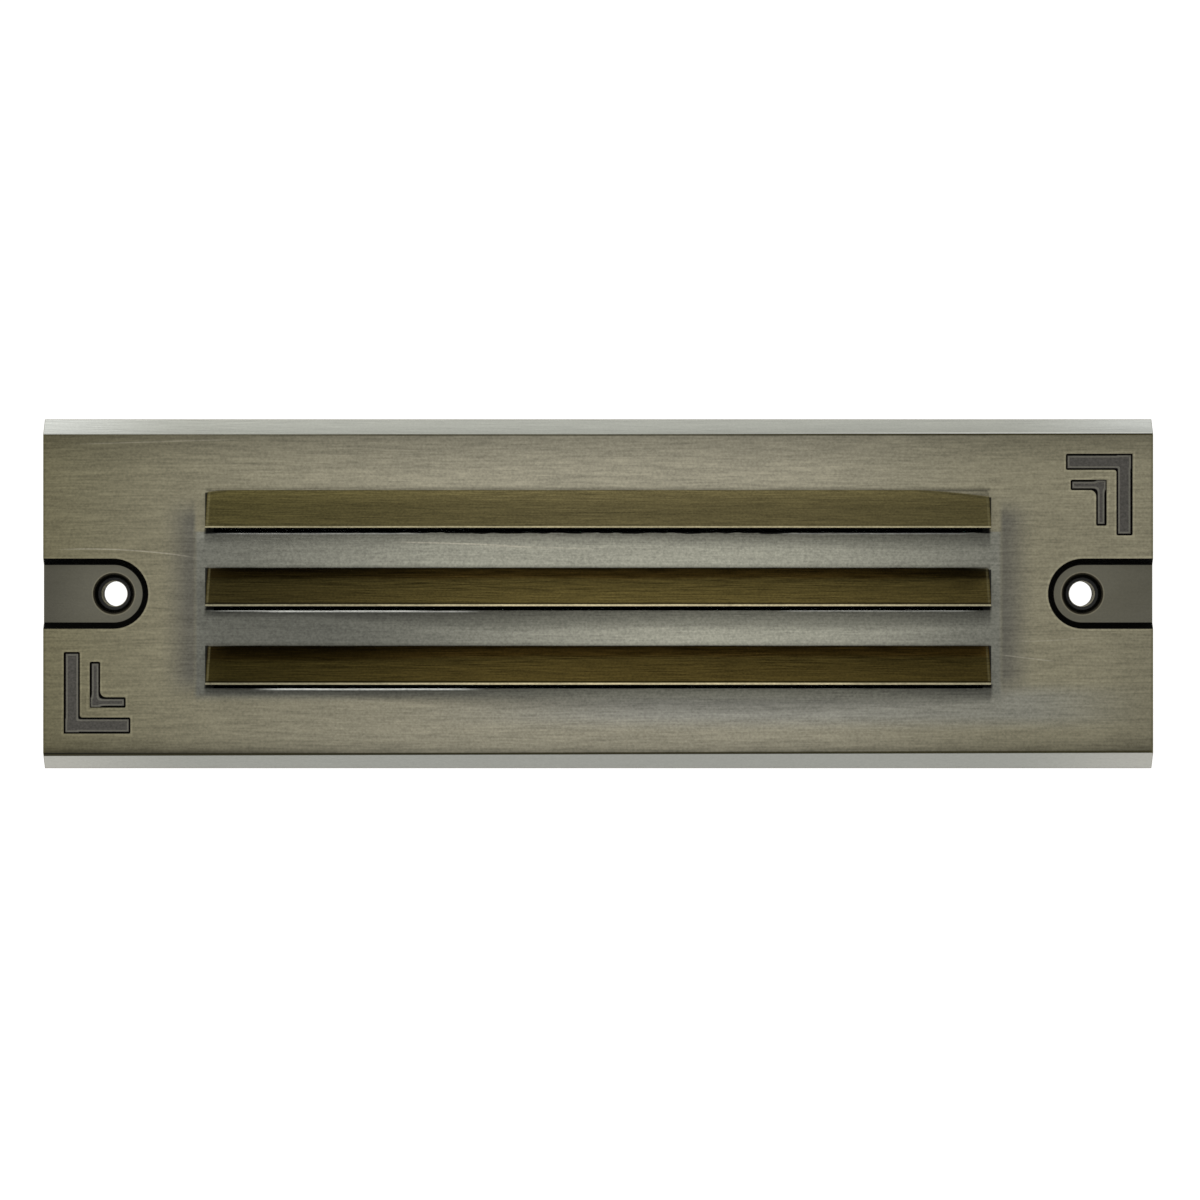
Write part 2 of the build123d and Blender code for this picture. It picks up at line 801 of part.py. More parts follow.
def terminal_block():
    block = slab(Rectangle(terminal_length, terminal_width), terminal_front_y, terminal_back_y)
    block = fillet(block.edges().filter_by(Axis.Y), terminal_round)
    for z in pole_rows:
        tunnel = barrel_dia + 2 * barrel_clearance
        block -= along(-terminal_length / 2, pole_y, z, tunnel, terminal_length)
        for x in (-clamp_spacing / 2, clamp_spacing / 2):
            well = clamp_screw_dia + 4 * screw_clearance
            block -= rod(x, z, well, terminal_front_y, pole_y)
    sink_y = terminal_front_y + terminal_head_sink
    block -= rod(0, 0, terminal_head_dia + 2 * barrel_clearance, terminal_front_y, sink_y)
    return block - rod(0, 0, terminal_screw_dia + 2 * thread_clearance, sink_y, terminal_back_y)


def terminal_barrel(z):
    """A brass sleeve with two tapped holes for its clamp screws."""
    start = -barrel_length / 2
    barrel = along(start, pole_y, z, barrel_dia, barrel_length)
    barrel -= along(start, pole_y, z, barrel_bore, barrel_length)
    for x in (-clamp_spacing / 2, clamp_spacing / 2):
        barrel -= rod(x, z, clamp_screw_dia + 2 * thread_clearance, pole_y - barrel_dia / 2, pole_y)
    return barrel


def clamp_screw(x, z):
    """A headless screw with a slot, home against its lead."""
    start_y = terminal_front_y + barrel_clearance
    screw = rod(x, z, clamp_screw_dia, start_y, pole_y - lead_dia / 2)
    cut = Pos(x, z) * Rectangle(clamp_screw_dia, clamp_screw_dia / 5)
    return screw - slab(cut, start_y, start_y + clamp_screw_dia / 3)


def gland_body():
    """The gland's hexagon, its thread through the housing and its bell for the insert."""
    radius = gland_thread_dia / 2
    stem_front = locknut_y - thread_end
    body = rod(gland_x, 0, gland_thread_dia, stem_front, bell_y)
    body += hexagon(gland_hex, gland_x, 0, gland_seat_y, gland_step_y)
    body -= rod(gland_x, 0, gland_bore, stem_front, bell_y)
    body -= rod(gland_x, 0, bell_bore, insert_y, bell_y)
    rounding = turned(
        loop(
            (0, stem_front),
            (radius, stem_front),
            (radius, gland_seat_y),
            (gland_hex / 2, gland_seat_y),
            (gland_hex / 2 / cos(radians(30)), gland_seat_y + thread_end),
            (gland_hex / 2 / cos(radians(30)), gland_step_y - thread_end),
            (gland_hex / 2, gland_step_y),
            (radius, gland_step_y),
            (radius, bell_y),
            (0, bell_y),
        ),
        gland_x,
        0,
    )
    return body & rounding


def gland_locknut():
    nut = hexagon(gland_hex, gland_x, 0, locknut_y, rear_inside_y)
    return nut - rod(gland_x, 0, gland_thread_dia + 2 * gland_clearance, locknut_y, rear_inside_y)


def gland_seal_washer():
    hole = gland_thread_dia + 2 * gland_clearance
    washer = Circle(gland_washer_dia / 2) - Circle(hole / 2)
    return slab(Pos(gland_x, 0) * washer, pad_y, gland_seat_y)


def gland_sealing_insert():
    """A rubber sleeve that the cap nut squeezes onto the cable."""
    outer = bell_bore / 2 - gland_clearance
    profile = loop(
        (insert_bore / 2, insert_y),
        (outer, insert_y),
        (outer, bell_y),
        (insert_bore / 2 + thread_end, insert_y + insert_length),
        (insert_bore / 2, insert_y + insert_length),
    )
    return turned(profile, gland_x, 0)


def gland_cap_nut():
    """A domed nut, hexagonal at its open end."""
    outer = gland_hex / 2 / cos(radians(30))
    bore = gland_thread_dia / 2 + gland_clearance
    mouth = cap_mouth / 2
    wall = outer - bore
    hex_end = cap_y + cap_hex_length
    skin = turned(
        loop(
            (0, cap_y),
            (outer, cap_y),
            (outer, hex_end),
            (mouth + wall / 2, cap_end_y),
            (0, cap_end_y),
        ),
        gland_x,
        0,
    )
    hollow = turned(
        loop(
            (0, cap_y),
            (bore, cap_y),
            (bore, bell_y + gland_clearance),
            (mouth, cap_end_y - gland_washer_thick),
            (mouth, cap_end_y),
            (0, cap_end_y),
        ),
        gland_x,
        0,
    )
    dome = rod(gland_x, 0, gland_hex, hex_end, cap_end_y)
    return ((hexagon(gland_hex, gland_x, 0, cap_y, hex_end) + dome) & skin) - hollow


def save(name, *pieces):
    """Write one node, with each of its pieces as a solid of its own."""
    solids = []
    for piece in pieces:
        solids.extend(piece.solids())
    export_step(Compound(children=solids), f"parts/{name}.step")


def save_pair(name, *pieces):
    """Write a right-hand node and its twin at the other end."""
    save(f"{name}_right", *pieces)
    save(f"{name}_left", *[other_side(piece) for piece in pieces])


os.makedirs("parts", exist_ok=True)

save("faceplate", faceplate())
save("lens_gasket", lens_gasket())
save("lens", lens())
save("housing", housing())
save("housing_screws", *[cap_screw(x, z) for x, z in fixing_places])
save("housing_washers", *[spring_washer(x, z) for x, z in fixing_places])

save("reflector_tray", reflector_tray())
tray_screw = (tray_screw_dia, tray_head_dia, tray_head_height, tray_floor_y, tray_screw_length)
save("tray_screws", *[pan_screw(x, z, *tray_screw) for x, z in tray_post_places])

save_pair("lamp_bracket", lamp_bracket())
rivets = [rivet(z) for z in (-rivet_row, rivet_row)]
save("bracket_rivets", *rivets, *[other_side(piece) for piece in rivets])
save_pair("lamp_holder", lamp_holder())
ear_screws = [holder_screw(y) for y in ear_places]
save("holder_screws", *ear_screws, *[other_side(piece) for piece in ear_screws])
save_pair("holder_contacts", *[holder_contact(z) for z in pin_rows])

save_pair("lamp_base", lamp_base())
save_pair("lamp_pins", *[lamp_pin(z) for z in pin_rows])
save_pair("lamp_envelope", lamp_envelope())
save_pair("led_column", led_column())
save_pair("led_chips", *led_chips())

save_pair("lead_grommet", lead_grommet())
save_pair("supply_lead", lead(pin_rows[1], pole_rows[1]))
save_pair("return_lead", lead(pin_rows[0], pole_rows[0]))
save("terminal_block", terminal_block())
save("terminal_barrels", *[terminal_barrel(z) for z in pole_rows])
clamps = [(x, z) for x in (-clamp_spacing / 2, clamp_spacing / 2) for z in pole_rows]
save("terminal_clamp_screws", *[clamp_screw(x, z) for x, z in clamps])
block_screw = (terminal_screw_dia, terminal_head_dia, terminal_head_height)
block_seat_y = terminal_front_y + terminal_head_sink
block_screw_length = terminal_back_y + terminal_screw_bite - fixing_hole_end - block_seat_y
save("terminal_fixing_screw", pan_screw(0, 0, *block_screw, block_seat_y, block_screw_length))

save("gland_body", gland_body())
save("gland_seal_washer", gland_seal_washer())
save("gland_locknut", gland_locknut())
save("gland_sealing_insert", gland_sealing_insert())
save("gland_cap_nut", gland_cap_nut())
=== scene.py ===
# %% [markdown]
# # A louvred step light in antique brass
# The light is a cast brass faceplate with three hooded louvres, and behind it a die-cast housing
# that sits in a wall or a stair riser. The solids come packed from the CAD model, in metres, with
# X along the light, +Y back into the wall and +Z up. This notebook lights them, sets up the
# photographer's camera, gives each surface its finish, and makes finer fastenings where the solids
# are plain.

# %% Load the solids
import math

import bmesh
import bpy
from mathutils import Matrix, Vector


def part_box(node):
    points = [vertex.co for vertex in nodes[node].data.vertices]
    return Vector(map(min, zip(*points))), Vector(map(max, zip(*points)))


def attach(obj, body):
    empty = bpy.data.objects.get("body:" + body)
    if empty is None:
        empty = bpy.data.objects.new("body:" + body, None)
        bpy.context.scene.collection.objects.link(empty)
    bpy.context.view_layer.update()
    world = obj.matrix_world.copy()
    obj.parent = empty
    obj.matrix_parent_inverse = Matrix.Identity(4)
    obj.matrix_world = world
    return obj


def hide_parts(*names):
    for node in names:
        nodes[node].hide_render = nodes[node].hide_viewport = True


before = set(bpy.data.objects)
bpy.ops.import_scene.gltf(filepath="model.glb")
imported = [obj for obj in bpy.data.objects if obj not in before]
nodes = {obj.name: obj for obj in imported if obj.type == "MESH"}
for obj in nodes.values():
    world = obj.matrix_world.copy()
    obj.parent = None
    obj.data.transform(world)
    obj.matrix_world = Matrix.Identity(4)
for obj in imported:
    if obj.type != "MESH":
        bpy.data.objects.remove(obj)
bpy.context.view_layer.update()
MM = 0.001

# %% [markdown]
# ## Camera
# The photograph looks square on at the plate from about a metre away. At that distance a long
# lens keeps the two ends alike, and the lips of the louvres, which stand 6 mm nearer, look only
# a little wider than their roots. A nearer camera would spread the lips too far.

# %% Photographer's view
face_y = -8.0 * MM
camera_distance = 0.95
frame_width = 0.24  # seen across the plane of the face
aim_x, aim_z = 0.37 * MM, -1.26 * MM  # the picture's middle, just off the plate's
camera_data = bpy.data.cameras.new("photograph")
camera_data.sensor_width = 36.0
camera_data.lens = camera_data.sensor_width * camera_distance / frame_width
camera = bpy.data.objects.new("photograph", camera_data)
camera.location = (aim_x, face_y - camera_distance, aim_z)
camera.rotation_euler = (math.radians(90), 0, 0)
bpy.context.collection.objects.link(camera)
bpy.context.scene.camera = camera
print("lens", round(camera_data.lens, 1), "mm")

# %% [markdown]
# ## Floor and light
# The photograph was taken in a white tent, so the metal reflects white from every side and the
# background is plain white. A white world does this. The floor lies well below the light, pale
# enough to melt into the world, and only takes a soft shadow. One large soft lamp high on the
# left makes the upper bevel a little brighter than the lower one and leaves a soft shadow under
# each lip, as the photograph has.

# %% White tent
tent_strength = 1.12
floor_z = -0.16
floor_half_width = 6.0

scene = bpy.context.scene
scene.view_settings.view_transform = "Standard"
world = bpy.data.worlds.new("tent")
scene.world = world
world.use_nodes = True
tent = world.node_tree.nodes["Background"]
tent.inputs["Color"].default_value = (1.0, 1.0, 1.0, 1.0)
tent.inputs["Strength"].default_value = tent_strength

floor_mesh = bmesh.new()
bmesh.ops.create_grid(floor_mesh, x_segments=1, y_segments=1, size=floor_half_width)
floor_data = bpy.data.meshes.new("floor")
floor_mesh.to_mesh(floor_data)
floor_mesh.free()
floor = bpy.data.objects.new("floor", floor_data)
floor.location = (0, 0, floor_z)
bpy.context.collection.objects.link(floor)


def soft_lamp(name, place, size, watts):
    """A square lamp that points at the middle of the light."""
    data = bpy.data.lights.new(name, "AREA")
    data.size = size
    data.energy = watts
    lamp = bpy.data.objects.new(name, data)
    lamp.location = place
    lamp.rotation_euler = (-Vector(place)).to_track_quat("-Z", "Y").to_euler()
    bpy.context.collection.objects.link(lamp)


soft_lamp("key", place=(-0.5, -0.75, 1.1), size=0.7, watts=10.0)

# %% [markdown]
# ## Shader arithmetic
# Each finish below is a recipe of masks and noises. Written with bare nodes it would be hard to
# read, so a Wire wraps one socket and takes part in sums, products and powers, and a Finish
# holds a material's tree and makes every other node.


# %% Wires and finishes
class Wire:
    """One output of a node, which adds and multiplies like a number."""

    def __init__(self, finish, output):
        self.finish = finish
        self.output = output

    def math(self, operation, *values, clamp=False):
        """One step of arithmetic, as a node."""
        settings = {"operation": operation, "use_clamp": clamp}
        return self.finish.node("Math", settings, dict(enumerate(values)))

    def __add__(self, other):
        return self.math("ADD", self, other)

    def __radd__(self, other):
        return self.math("ADD", other, self)

    def __sub__(self, other):
        return self.math("SUBTRACT", self, other)

    def __rsub__(self, other):
        return self.math("SUBTRACT", other, self)

    def __mul__(self, other):
        return self.math("MULTIPLY", self, other)

    def __rmul__(self, other):
        return self.math("MULTIPLY", other, self)

    def __truediv__(self, other):
        return self.math("DIVIDE", self, other)

    def __pow__(self, other):
        return self.math("POWER", self, other)

    def __abs__(self):
        return self.math("ABSOLUTE", self)

    def __mod__(self, other):
        return self.math("FLOORED_MODULO", self, other)

    def least(self, other):
        return self.math("MINIMUM", self, other)

    def most(self, other):
        return self.math("MAXIMUM", self, other)

    def melted(self, other, reach):
        """The lower of two values, with a smooth turn from one to the other."""
        return self.math("SMOOTH_MIN", self, other, reach)

    def clamped(self):
        """The value, held between 0 and 1."""
        return self.math("ADD", self, 0.0, clamp=True)


class Finish:
    """A material and the nodes that make it."""

    def __init__(self, name, **constants):
        self.name = name
        self.material = bpy.data.materials.new(name)
        self.material.use_nodes = True
        self.tree = self.material.node_tree
        self.shader = self.tree.nodes["Principled BSDF"]
        for socket, value in constants.items():
            self.shader.inputs[socket.replace("_", " ")].default_value = value
        self.object_place = self.node("TexCoord", output="Object")

    def node(self, kind, settings=None, sockets=None, output=0):
        """Make a node: its settings first, then the values or links of its sockets."""
        made = self.tree.nodes.new("ShaderNode" + kind)
        for name, value in (settings or {}).items():
            setattr(made, name, value)
        for name, value in (sockets or {}).items():
            if isinstance(value, Wire):
                self.tree.links.new(value.output, made.inputs[name])
            else:
                made.inputs[name].default_value = value
        return Wire(self, made.outputs[output])

    def feed(self, **sockets):
        """Join wires to the shader."""
        for name, wire in sockets.items():
            self.tree.links.new(wire.output, self.shader.inputs[name.replace("_", " ")])

    def millimetres(self):
        """The three coordinates of the surface, in millimetres."""
        split = self.node("SeparateXYZ", sockets={0: self.object_place})
        outputs = split.output.node.outputs
        return [Wire(self, outputs[axis]) / MM for axis in "XYZ"]

    def noise(self, scale, detail=3.0, shift=(0, 0, 0), wander=0.0):
        """Noise from 0 to 1, with its own scale per metre along each axis."""
        place = self.object_place
        if wander:
            bend = self.node("TexNoise", sockets={"Vector": place, "Scale": 24.0, "Detail": 1.0})
            drift = self.node("CombineXYZ", sockets={2: (bend - 0.5) * wander})
            place = self.node("VectorMath", {"operation": "ADD"}, {0: place, 1: drift})
        place = self.node("Mapping", sockets={"Vector": place, "Scale": scale, "Location": shift})
        return self.node("TexNoise", sockets={"Vector": place, "Scale": 1.0, "Detail": detail})

    def rise(self, value, at, over):
        """A mask that goes smoothly from 0 to 1 as a value passes a place."""
        sockets = {"Value": value, "From Min": at - over / 2, "From Max": at + over / 2}
        return self.node("MapRange", {"interpolation_type": "SMOOTHSTEP"}, sockets)

    def fall(self, value, at, over):
        """A mask that goes smoothly from 1 to 0 as a value passes a place."""
        return 1 - self.rise(value, at, over)

    def between(self, value, low, high, over):
        """A mask that is 1 only while a value is between two places."""
        return self.rise(value, low, over) * self.fall(value, high, over)

    def mix(self, mask, without, with_mask):
        """Blend two colours by a mask."""
        sockets = {0: mask, 6: without, 7: with_mask}  # 6 and 7 are the colour sockets
        return self.node("Mix", {"data_type": "RGBA", "clamp_factor": True}, sockets, output=2)

    def tint(self, colour, amount):
        """Make a colour lighter or darker by a factor that varies."""
        grey = self.node("CombineXYZ", sockets={0: amount, 1: amount, 2: amount})
        colour = colour if isinstance(colour, Wire) else colour[:3]
        return self.node("VectorMath", {"operation": "MULTIPLY"}, {0: colour, 1: grey})

    def bump(self, height, distance, strength=1.0):
        """A relief that is so many metres deep."""
        sockets = {"Height": height, "Distance": distance, "Strength": strength}
        return self.node("Bump", sockets=sockets)


def tone(red, green, blue):
    """A colour given as on a screen, from 0 to 255, as the light it stands for."""
    parts = [part / 255 for part in (red, green, blue)]
    light = [((p + 0.055) / 1.055) ** 2.4 if p > 0.04 else p / 12.92 for p in parts]
    return (*light, 1.0)


def wear(finish, *names):
    """Give a finish to CAD nodes."""
    for name in names:
        for slot in nodes[name].material_slots:
            slot.material = finish.material


print("shader tools ready")

# %% [markdown]
# ## Floor finish
# Matte white paper, with the faint cloudiness that a real sheet shows.

# %% Paper
paper = Finish("paper", Roughness=0.9)
cloud = paper.noise((3, 3, 3), detail=2)
paper.feed(Base_Color=paper.mix(cloud, (0.93, 0.93, 0.93, 1), (0.97, 0.97, 0.96, 1)))
floor_data.materials.append(paper.material)
print("paper:", len(paper.tree.nodes), "nodes")

# %% [markdown]
# ## Antique brass
# This is the finish that the photograph is about. On the real plate, cast brass is darkened all
# over, brushed along its length so that the face lightens again, and left dark wherever the
# brush can't reach: on the louvres' slopes, in the end pockets and in the corner marks. The long
# bevels are brushed nearly back to bare metal. The colour also carries painted light: painted
# highlights on the face, lips and sills, painted shadow under the lips and in the recesses, and
# lighter and darker painted copies of the hoods and bevels. One material does it all, because its
# masks can read where each point lies: depth tells the pockets and hoods from the face, and height
# tells the louvre rows apart.

# %% Where things are on the plate
# All in millimetres.
plate_end, plate_side = 111.0, 35.0  # half its length and half its height
louvre_pitch = 15.6
lowest_lip_z, highest_lip_z = -18.15, 13.05
hood_end = 78.6  # half a hood's length
hood_height = 7.8  # from its lip to its root
patch_end = 80.6  # half the length of the patina round the hoods
hole_x = 97.0
pocket_radius = 7.05
sink_radius = 4.2
core_y = -4.9  # between the recesses' floors and the cored back

brass = Finish("antique_brass", Metallic=1.0)
x, y, z = brass.millimetres()
ax, az = abs(x), abs(z)
proud = brass.fall(y, -8.1, 0.1)  # the face itself lies at -8
from_hole = ((ax - hole_x) * (ax - hole_x) + z * z) ** 0.5
behind = brass.rise(y, core_y, 0.1) * brass.rise(from_hole, 2.8, 0.1)
end_wall = brass.rise(ax, plate_end - 0.07, 0.06)
side_wall = brass.rise(az, plate_side - 0.07, 0.06) * brass.rise(y, -5.0, 0.2)
outer_wall = end_wall.most(side_wall)
sunk = brass.between(y, -7.99, core_y, 0.02) * (1 - end_wall)
on_face = (1 - proud) * (1 - sunk) * (1 - behind)
upper_half = brass.rise(z, 0.0, 1.0)
upper_edge = (x * 0.0015).most(0.0) + 31.88
bevel_edge = upper_half * upper_edge + (1 - upper_half) * (32.12 - x * 0.003)
bevel = brass.rise(az, bevel_edge, 0.16) * (1 - behind)
up_row = (z - lowest_lip_z) % louvre_pitch  # 0 at a lip, 7.8 at the root of its hood
down_row = (highest_lip_z - z) % louvre_pitch  # 0 at a lip, 0.8 at the sill of its slot
in_patch = brass.fall(ax, patch_end, 1.2) * brass.between(z, -20.8, 13.6, 2.4) * on_face
top_row = brass.rise(z, 12.0, 0.5)
bottom_row = brass.fall(z, -3.5, 0.5)
print("places:", len(brass.tree.nodes), "nodes")

# %% [markdown]
# The end pockets and the corner marks need distances to their outlines. A pocket is the shape of
# a slot that runs out through the plate's end. The two marks are one shape turned half a turn, so
# both coordinates take the sign of x and one set of boxes serves both corners.


# %% Outlines of the recesses
def box_distance(u, v, low_u, high_u, low_v, high_v):
    """How far a point lies outside a box, or inside it where negative."""
    side = (low_u - u).most(u - high_u)
    return side.most((low_v - v).most(v - high_v))


beyond_hole = (hole_x - ax).most(0.0)
pocket_line = (beyond_hole * beyond_hole + z * z) ** 0.5 - pocket_radius
turned_z = z * (brass.rise(x, 0.0, 0.1) * 2 - 1)


def mark_distance(level_bar, upright_bar, inner_corner):
    """How far a point lies outside two bars that are joined with a rounded inner corner."""
    bars = (level_bar, upright_bar)
    level, upright = (box_distance(ax, turned_z, *bar) for bar in bars)
    return level.melted(upright, inner_corner)


big_mark = mark_distance((93.55, 106.9, 24.75, 28.0), (103.65, 106.9, 11.65, 28.0), 0.6)
small_mark = mark_distance((94.5, 101.7, 20.7, 22.8), (99.6, 101.7, 13.6, 22.8), 1.6)
mark_line = big_mark.least(small_mark)
print("outlines:", len(brass.tree.nodes), "nodes")

# %% [markdown]
# The brushing is noise stretched along the plate, in three layers from broad bands to hairlines,
# and it wanders a little, as hand work does. Round the louvres the brush only dabs, so there the
# patina is greyer, with a stipple instead of streaks.

# %% Brushing
bands = brass.noise((7, 150, 150), detail=3, shift=(0.1, 0.5, 0.2), wander=0.003)
streaks = brass.noise((22, 760, 760), detail=3, shift=(0.3, 0.1, 0.7), wander=0.002)
hairlines = brass.noise((150, 2500, 2500), detail=2, shift=(0.7, 0.3, 0.4), wander=0.001)
stipple = brass.noise((2100, 2400, 2400), detail=2, shift=(0.2, 0.8, 0.5))
mottle = brass.noise((40, 90, 90), detail=3, shift=(0.9, 0.2, 0.4))
ragged = brass.noise((150, 150, 150), detail=3, shift=(0.4, 0.6, 0.1)) - 0.5
brush = (bands - 0.5) * 0.3 + (streaks - 0.5) * 0.65 + (hairlines - 0.5) * 1.9
grain = brush + (stipple - 0.5) * (1.8 + in_patch * 0.9)
print("brushing:", len(brass.tree.nodes), "nodes")

# %% [markdown]
# The plate is painted brightest a little right of its middle, a painted highlight, and falls off
# to an olive brown at the ends and, as painted shade, towards the top and bottom edges. `seen`
# takes a colour as it shows in the picture and divides out the light that falls on such a surface,
# so the numbers below are the object's own colours, apart from the painted light and shade named
# as such.


# %% Face
def seen(red, green, blue, light=1.34):
    """The metal that shows a colour under so much light."""
    return tuple(v / light for v in tone(red, green, blue)[:3]) + (1.0,)


# A painted highlight across the face, and painted shade towards its top and bottom edges.
face_highlight = brass.rise(x, -65.0, 120.0) ** 0.6 * (1 - brass.rise(x, 60.0, 70.0) * 0.53)
upper_painted_shade = brass.rise(z, 28.0, 8.0) * 0.304
lower_painted_shade = brass.fall(z, -21.0, 8.0) * 0.0855
lower_painted_shade = lower_painted_shade + brass.fall(z, -29.6, 5.0) * (0.323 - face_highlight * 0.114)
face = brass.mix(face_highlight, seen(103, 98, 73), seen(156, 151, 132))
face = brass.tint(face, 1 - upper_painted_shade - lower_painted_shade)
right_end = brass.rise(x, 103.0, 8.0) * brass.fall(z, 4.0, 8.0)
face = brass.tint(face, 1 - right_end * 0.14)
print("face:", len(brass.tree.nodes), "nodes")

# %% [markdown]
# Between the hoods the patina has its own grey tone, with a painted highlight in its middle that
# lies further left in the upper band, painted light just under the upper lip and at its left end,
# and a painted gleam low in the lower bands. Past the hoods' ends the face is darker in a soft
# fringe, and under the lowest hood it is a little cooler.

# %% Patina and painted light between the hoods
first_band = brass.rise(z, 2.0, 2.0)
# A painted highlight in the middle of the patina between the hoods.
from_patch_highlight = abs(x - 22.0 + first_band * 16.0)
patch_highlight = brass.fall(from_patch_highlight, 42.0 + first_band * 17.0, 78.0)
patch_highlight = patch_highlight * (1 - brass.rise(x, 68.0, 24.0) * (1 - first_band) * 0.4)
patch = brass.mix(patch_highlight, seen(105, 105, 97), seen(166, 165, 150))
# Painted light lifts the upper band just under its lip, and at its left end.
lift_under_first = first_band * brass.fall(x, 10.0, 60.0)
patch = brass.tint(patch, 1 + lift_under_first * (0.26 * brass.fall(down_row, 2.8, 2.4) - 0.02))
# A painted gleam low in each lower band.
low_painted_gleam = brass.between(down_row, 4.1, 5.5, 1.0) * (1 - first_band) * patch_highlight
far_left = brass.fall(x, -60.0, 50.0)
patch = brass.tint(patch, 1 + low_painted_gleam * 0.22 + far_left * first_band * 0.12)
cool = brass.between(z, -26.0, -19.0, 4.0)
cool = cool * brass.rise(x, -14.0, 60.0) * brass.fall(x, 98.0, 30.0)
cool_tone = brass.mix(face_highlight, seen(112, 113, 105), seen(146, 147, 142))
face = brass.mix(cool * 0.6, face, cool_tone)
face = brass.mix(in_patch * brass.fall(z, 12.4, 0.4), face, patch)
band_fade = brass.rise(ax, patch_end, 1.2) * brass.fall(ax, patch_end + 4.0, 7.0)
band_fade = band_fade * brass.between(z, -19.0, 17.2, 6.0)
face = brass.mix(band_fade * (0.75 + mottle * 0.4), face, seen(99, 97, 88))
print("patina:", len(brass.tree.nodes), "nodes")

# %% [markdown]
# Under each lip the face is painted with shadow: black in the corner and fading over a millimetre
# or three, with a ragged edge.

# %% Painted shadow under the louvres
past_lip = brass.fall(z, 13.2, 0.1)
along_row = brass.fall(ax + ragged * 1.6, hood_end, 0.7)
torn = brass.noise((260, 500, 500), detail=3, shift=(0.3, 0.9, 0.6)) - 0.5
to_left = brass.fall(x, -52.0, 40.0)
# Painted shadow under each lip: black down to this depth, then fading below it.
shadow_depth = 0.75 + top_row * (0.34 + to_left * 0.36 + torn * 1.8) + torn * 0.5  # below a lip
gap_shadow = brass.fall(down_row, shadow_depth, 0.3) * past_lip * along_row
to_right = brass.rise(x, 42.0, 70.0)
centre = brass.fall(abs(x - 10.0), 45.0, 60.0)
lip_shadow_reach = 3.0 - top_row * (2.0 - to_right * 1.6) + to_right * 0.9
lip_shadow_reach = lip_shadow_reach + bottom_row * (centre * 3.4 + to_right * 0.5 - 1.3)
lip_shadow_reach = lip_shadow_reach + (mottle - 0.5) * 1.2
lip_shadow = (1 - (down_row - 0.7) / lip_shadow_reach).clamped() ** 0.75 * past_lip * along_row
print("crevices:", len(brass.tree.nodes), "nodes")

# %% [markdown]
# A thin dark line runs round each hood where it leaves the face, and the sill of a slot shows as
# a bright thread, a painted highlight along its edge. Towards the right end, and at the upper
# one's left end, the finish lets a hood's root sag a little.

# %% Lines round the hoods
root_fade = brass.between(up_row, hood_height - 0.3, hood_height + 0.9, 0.25)
root_fade = root_fade * brass.fall(ax, hood_end - 0.2, 0.5) * brass.fall(z, 21.8, 0.2)
root_fade = root_fade * brass.fall(up_row, hood_height + 0.3, 1.0) * brass.rise(z, -20.0, 0.5)
right_sag = ((x - 61.0 - (1 - top_row) * 8.0).most(0.0) / 17.0) ** 1.6
left_sag = ((-72.0 - x).most(0.0) / 6.0) ** 1.6
sag = right_sag * (0.95 * (1 - bottom_row) + top_row * 0.5) + left_sag * top_row * 0.5
end_line = brass.between(ax, hood_end - 0.7, hood_end + 0.02, 0.2)
end_line = end_line * brass.between(up_row, -0.6, hood_height - 0.05 - sag, 0.3)
end_line = end_line * brass.between(z, -18.6, 20.9, 0.1)
# The sill of each slot carries a painted highlight in the middle and lowest rows.
thread_middle = brass.between(x, -75.0, -36.0, 8.0) + brass.between(x, 38.0, 74.0, 6.0) * 0.7
thread_bottom = brass.between(x, -66.0, -26.0, 8.0)
thread = brass.between(down_row, 0.72, 1.14, 0.1) * past_lip * (
    thread_middle * (1 - top_row) * (1 - bottom_row) + thread_bottom * bottom_row
)
# Painted shadow fading below each lip.
face = brass.tint(face, 1 - lip_shadow * 0.62)
face = brass.mix(root_fade * 0.5, face, seen(60, 58, 48))
# Painted shadow, black in the gap under each lip.
face = brass.mix(gap_shadow, face, seen(16, 16, 14))
face = brass.mix(end_line * 0.92, face, seen(12, 12, 9))
face = brass.mix(thread * 0.95, face, seen(214, 215, 208))
print("lines:", len(brass.tree.nodes), "nodes")

# %% [markdown]
# The hoods keep most of their brown: the upper one is the lightest, partly because it catches the
# brush and partly from a painted reflection of the sky, and the lower two are painted dark and
# reddish under the one above, painted shade from the hood that hangs over them.

# %% Hoods
# A painted highlight along the hoods, brightest right of the middle.
hood_highlight = brass.rise(x, -38.0, 84.0) * (1 - brass.rise(x, 62.0, 70.0) * 0.65)
slope_up = up_row / hood_height
# The upper hood is painted lighter towards its root, a painted reflection of the sky.
lit_upper_hood = brass.mix(hood_highlight, seen(73, 67, 39), seen(94, 86, 57))
lit_upper_hood = brass.tint(lit_upper_hood, 0.84 + brass.rise(slope_up, 0.78, 0.5) * 0.5)
# The lower hoods are painted darker, painted shade from the hood above.
shaded_lower_hood = brass.mix(hood_highlight, seen(47, 41, 20), seen(90, 79, 43))
shaded_last_hood = brass.mix(hood_highlight, seen(41, 35, 12), seen(68, 56, 24))
shaded_lower_hood = brass.mix(bottom_row * 0.6, shaded_lower_hood, shaded_last_hood)
aside = 1 - brass.rise(x, -36.0, 40.0) * (1 - brass.rise(x, 60.0, 24.0) * (1 - bottom_row))
